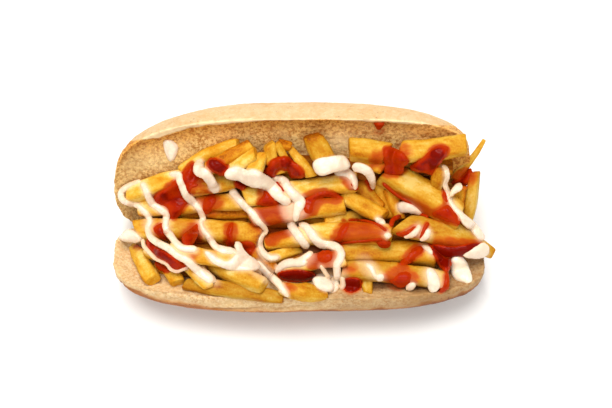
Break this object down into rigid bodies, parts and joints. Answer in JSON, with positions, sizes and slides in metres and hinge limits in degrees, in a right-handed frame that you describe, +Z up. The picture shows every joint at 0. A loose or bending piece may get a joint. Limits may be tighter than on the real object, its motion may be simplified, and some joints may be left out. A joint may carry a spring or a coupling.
{
  "type": "fries sandwich",
  "caption": "Long soft roll split along one side and opened like a V, heaped with thick fries, mayonnaise and ketchup.",
  "frame": {"origin": "middle of the box around the whole sandwich, on the surface it stands on", "axes": "+X along the roll, to the right in the picture's view; +Y from the open side of the fold to the raised back half; +Z up"},
  "size_m": [0.184, 0.0972, 0.0695],
  "materials": {
    "bread": "soft pale crust and open wheat crumb, unglazed, stands for bread",
    "fries": "fried potato, golden with brown edges, slightly oily",
    "mayonnaise": "thick cream-white sauce, soft gloss",
    "ketchup": "thick red sauce, wet gloss"
  },
  "bodies": {
    "root": {"bun": "bread", "fries_heap": "fries", "mayonnaise_dollop_back": "mayonnaise", "mayonnaise_dollop_right": "mayonnaise", "ketchup_dollop_back_left": "ketchup", "ketchup_dollop_back_right": "ketchup"}
  },
  "joints": []
}
